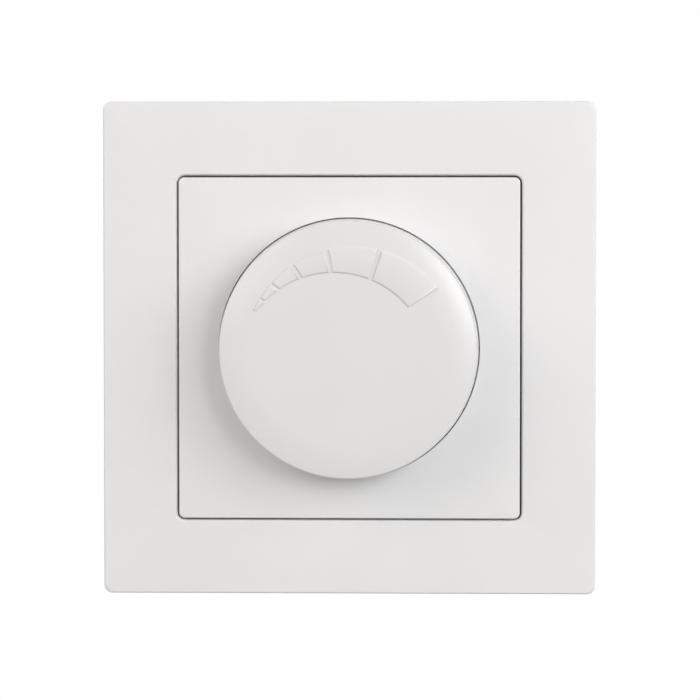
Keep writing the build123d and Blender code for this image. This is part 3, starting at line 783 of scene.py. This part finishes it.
# %% Housing and board parts
plastic("grey_housing", (0.56, 0.56, 0.54), (0.61, 0.61, 0.59), 0.5, grain=2200.0, depth=0.03, strength=0.5)
plastic("grey_nylon", (0.26, 0.27, 0.28), (0.30, 0.31, 0.32), 0.48, drift=120.0)
plastic("board_laminate", (0.25, 0.15, 0.055), (0.33, 0.21, 0.08), 0.5, drift=300.0)
plastic("dark_phenolic", (0.022, 0.014, 0.010), (0.045, 0.030, 0.022), 0.42, drift=400.0)
plastic("black_resin", (0.006, 0.006, 0.006), (0.012, 0.012, 0.012), 0.45, grain=5000.0)
plastic("insulating_sheet", (0.32, 0.34, 0.40), (0.38, 0.40, 0.45), 0.6)
plastic("ferrite", (0.014, 0.014, 0.016), (0.03, 0.03, 0.032), 0.55, drift=500.0, strength=0.6)
plastic("yellow_film", (0.62, 0.36, 0.02), (0.70, 0.43, 0.03), 0.3)
plastic("red_film", (0.30, 0.03, 0.015), (0.38, 0.05, 0.02), 0.3)
plastic("fuse_glass", (0.55, 0.60, 0.60), (0.66, 0.70, 0.70), 0.12, strength=0.05)
plastic("resistor_coat", (0.42, 0.27, 0.13), (0.50, 0.33, 0.17), 0.35)
plastic("blue_diode", (0.03, 0.09, 0.28), (0.05, 0.13, 0.36), 0.2)
print("plastic and board finishes:", len(finishes))

# %% [markdown]
# The support plate and the claws are bright zinc-plated steel with cloudy blotches and fine rolling
# lines. The claw screws have the yellow tone of passivated zinc. The copper winding has its lines across,
# turn by turn.

# %% Metals
metal("zinc_steel", (0.44, 0.46, 0.48), (0.56, 0.58, 0.60), 0.34)
metal("yellow_zinc", (0.50, 0.38, 0.14), (0.60, 0.50, 0.26), 0.32, blotch=500.0)
metal("spring_steel", (0.30, 0.30, 0.31), (0.40, 0.40, 0.41), 0.3)
metal("nickelled_brass", (0.54, 0.51, 0.45), (0.64, 0.61, 0.56), 0.22, stretch=(300.0, 5000.0, 300.0))
metal("contact_bronze", (0.48, 0.22, 0.08), (0.58, 0.30, 0.13), 0.3)
metal("terminal_brass", (0.50, 0.35, 0.11), (0.62, 0.46, 0.18), 0.3)
metal(
    "enamelled_copper", (0.30, 0.08, 0.025), (0.42, 0.13, 0.04), 0.28,
    stretch=(2200.0, 60.0, 60.0), depth=0.1, strength=0.8,
)
print("all finishes:", len(finishes))

# %% [markdown]
# ## A finish for every piece
#
# The imported record names a slot for each CAD node, and each slot has its finish here. A piece made in
# this script is listed with the slot of the node that it stands for, and gets that slot's finish. Only
# the knob looks different from its slot, because its moulding is glossier than the plate's.


# %% Give every piece its finish
def paint(piece, finish):
    piece.data.materials.clear()
    piece.data.materials.append(finishes[finish])


for part in frame["record"]["subparts"]:
    paint(nodes[part["node"]], part["material_slot"])
new_pieces = [
    (knob, "white_moulding", "knob_moulding"),
    (frame_piece, "white_moulding", "white_moulding"),
    (plate_piece, "white_moulding", "white_moulding"),
    (leaf, "contact_bronze", "contact_bronze"),
]
new_pieces += [(screw, "yellow_zinc", "yellow_zinc") for screw in claw_screws]
for piece, slot, finish in new_pieces:
    paint(piece, finish)

# %% [markdown]
# ## Light, floor and camera
#
# The photograph was taken almost straight on in soft studio light. The world's white shows only to the
# camera, in reflections and through glass, so it makes the background white. A weaker world light fills
# the shadows.

# %% World
world_light = 0.315
world = bpy.data.worlds.new("studio")
bpy.context.scene.world = world
world.use_nodes = True
sky = world.node_tree
background = sky.nodes["Background"]
background.inputs["Color"].default_value = (1.0, 0.98, 0.96, 1)
background.inputs["Strength"].default_value = world_light
white = add_node(sky, "ShaderNodeBackground", Color=(1, 1, 1, 1), Strength=1.0)
seen = sky.nodes.new("ShaderNodeLightPath")
either = add_node(sky, "ShaderNodeMath", {"operation": "MAXIMUM"})
any_of = add_node(sky, "ShaderNodeMath", {"operation": "MAXIMUM"})
choose = sky.nodes.new("ShaderNodeMixShader")
sky.links.new(seen.outputs["Is Camera Ray"], either.inputs[0])
sky.links.new(seen.outputs["Is Glossy Ray"], either.inputs[1])
sky.links.new(either.outputs[0], any_of.inputs[0])
sky.links.new(seen.outputs["Is Transmission Ray"], any_of.inputs[1])
sky.links.new(any_of.outputs[0], choose.inputs["Fac"])
sky.links.new(background.outputs["Background"], choose.inputs[1])
sky.links.new(white.outputs["Background"], choose.inputs[2])
sky.links.new(choose.outputs["Shader"], sky.nodes["World Output"].inputs["Surface"])
print("world", world.name, "lights the shadows with a strength of", world_light)

# %% [markdown]
# Two large lamps at the upper right give the knob's soft shadow, and a weaker, warmer one at the upper
# left fills it. A small lamp nearer the front on either side gives the light bands on the knob's crown.
# Two lamps behind the wall's plane light the housing and leave the front alone.

# %% Lamps
lamp_distance = 0.8
cool = (0.978, 0.99, 1.0)
warm = (1.0, 0.94, 0.855)


def soft_lamp(name, off_axis, clock, size, power, colour):
    """A square lamp aimed at the switch, off_axis from the front's normal and clock from the top."""
    off, turn = math.radians(off_axis), math.radians(clock)
    direction = Vector((math.sin(off) * math.sin(turn), -math.cos(off), math.sin(off) * math.cos(turn)))
    start_clean()
    bpy.ops.object.light_add(type="AREA", location=lamp_distance * direction)
    lamp = bpy.context.object
    lamp.name = name
    lamp.data.shape = "SQUARE"
    lamp.data.size = size
    lamp.data.energy = power
    lamp.data.color = colour
    lamp.rotation_euler = (-direction).to_track_quat("-Z", "Y").to_euler()


soft_lamp("key_lamp_near", 35, 66, 0.5, 1.44, cool)
soft_lamp("key_lamp_far", 60, 66, 0.5, 2.45, cool)
soft_lamp("glint_lamp", 25, 62, 0.25, 0.92, cool)
soft_lamp("fill_lamp", 55, -58, 0.5, 2.15, warm)
soft_lamp("fill_glint_lamp", 25, -62, 0.25, 0.32, warm)
soft_lamp("rear_key_lamp", 130, 55, 0.75, 2.5, (1.0, 0.995, 0.99))
soft_lamp("rear_fill_lamp", 130, -60, 0.6, 1.4, (1.0, 0.98, 0.96))
print("five lamps in front, two behind for the views from the wall's side")

# %% [markdown]
# The floor lies well below the switch and takes its shadow. Away from the middle it fades to the
# background's white for the camera alone, so that it has no edge in any view, and the light that it sends
# up stays the same.

# %% The floor
floor_middle = (0, 0.2, -0.22)
floor_size = (0.8, 0.6, 1)
start_clean()
bpy.ops.mesh.primitive_plane_add(size=1, location=floor_middle)
floor = bpy.context.object
floor.name = "floor"
floor.scale = floor_size
place_in_mesh(floor)
pale = plastic("pale_floor", (0.60, 0.60, 0.60), (0.63, 0.63, 0.63), 0.7, grain=900.0)
floor.data.materials.append(pale)
print("floor at z =", round(floor.data.vertices[0].co.z, 3), "m")

# %% Its fade to white
fade_start = 0.12
fade_end = 0.29
tree = pale.node_tree
place = next(node for node in tree.nodes if node.type == "TEX_COORD")
from_middle = add_node(tree, "ShaderNodeVectorMath", {"operation": "SUBTRACT"})
from_middle.inputs[1].default_value = floor_middle
away = add_node(tree, "ShaderNodeVectorMath", {"operation": "LENGTH"})
smooth = {"interpolation_type": "SMOOTHSTEP"}
fade = add_node(tree, "ShaderNodeMapRange", smooth, From_Min=fade_start, From_Max=fade_end)
ray = tree.nodes.new("ShaderNodeLightPath")
seen_part = add_node(tree, "ShaderNodeMath", {"operation": "MULTIPLY"})
white_floor = add_node(tree, "ShaderNodeEmission", Color=(1, 1, 1, 1), Strength=1.0)
fading = tree.nodes.new("ShaderNodeMixShader")
tree.links.new(place.outputs["Object"], from_middle.inputs[0])
tree.links.new(from_middle.outputs[0], away.inputs[0])
tree.links.new(away.outputs["Value"], fade.inputs["Value"])
tree.links.new(fade.outputs["Result"], seen_part.inputs[0])
tree.links.new(ray.outputs["Is Camera Ray"], seen_part.inputs[1])
tree.links.new(seen_part.outputs[0], fading.inputs["Fac"])
tree.links.new(tree.nodes["Principled BSDF"].outputs["BSDF"], fading.inputs[1])
tree.links.new(white_floor.outputs["Emission"], fading.inputs[2])
tree.links.new(fading.outputs["Shader"], tree.nodes["Material Output"].inputs["Surface"])
print("the floor is white to the camera beyond", fade_end, "m from its middle")

# %% [markdown]
# The camera stands a little above the switch and to its right, and aims at the middle of the frame's
# face. Its lens follows from the frame's width in millimetres and in the photograph's pixels.

# %% Camera
distance = 0.6
turn_up = math.radians(2.43)
turn_right = math.radians(1.84)
aim_right = 0.14
aim_up = -0.31
aim_behind_knob = 9.7
sensor = 36
photo_pixels = 700
frame_pixels = 492.5
frame_seen = 83.69
aim = Vector((aim_right * MM, cad_box[0].y + aim_behind_knob * MM, aim_up * MM))
back = Vector(
    (math.sin(turn_right) * math.cos(turn_up), -math.cos(turn_right) * math.cos(turn_up), math.sin(turn_up))
)
start_clean()
bpy.ops.object.camera_add(location=aim + distance * back, rotation=back.to_track_quat("Z", "Y").to_euler())
camera = bpy.context.object
camera.name = "photo_camera"
camera.data.sensor_width = sensor
camera.data.lens = sensor * distance / (frame_seen * MM * photo_pixels / frame_pixels)
camera.data.clip_start = 0.01
bpy.context.scene.camera = camera
bpy.context.scene.view_settings.view_transform = "Standard"
print("camera", round(distance, 3), "m away, lens", round(camera.data.lens, 1), "mm")
